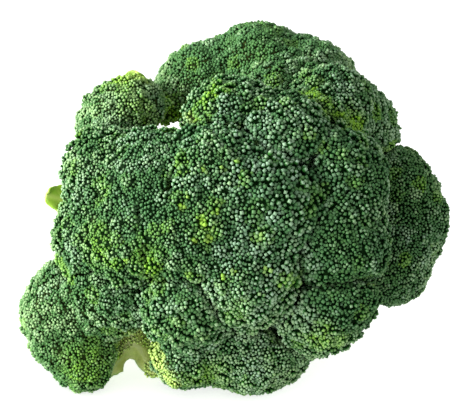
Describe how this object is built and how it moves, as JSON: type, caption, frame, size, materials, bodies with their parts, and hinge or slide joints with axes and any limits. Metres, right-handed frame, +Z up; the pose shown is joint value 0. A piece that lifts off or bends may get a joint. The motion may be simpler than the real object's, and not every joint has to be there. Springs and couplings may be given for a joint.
{
  "type": "broccoli head",
  "caption": "Head of broccoli lying on its side: a domed crown of budded florets on a branching stalk with a cut end and small leaves.",
  "frame": {"origin": "middle of the ground that the head covers, on the surface that it lies on", "axes": "+X to the right across the crown, +Y from the crown to the stalk's cut end, +Z up; the crown faces -Y and up"},
  "size_m": [0.1548, 0.1172, 0.1075],
  "materials": {
    "buds": "matte, waxy flower buds",
    "stalk": "satin plant skin, moist cut end",
    "leaf": "satin leaf"
  },
  "bodies": {
    "root": {"floret_top": "buds", "floret_upper": "buds", "floret_upper_right": "buds", "floret_upper_left": "buds", "floret_left": "buds", "floret_centre": "buds", "floret_centre_right": "buds", "floret_right": "buds", "floret_lower_right": "buds", "floret_bottom": "buds", "floret_lower_left": "buds", "stalk": "stalk", "leaf_left": "leaf", "leaf_upper_left": "leaf"}
  },
  "joints": []
}
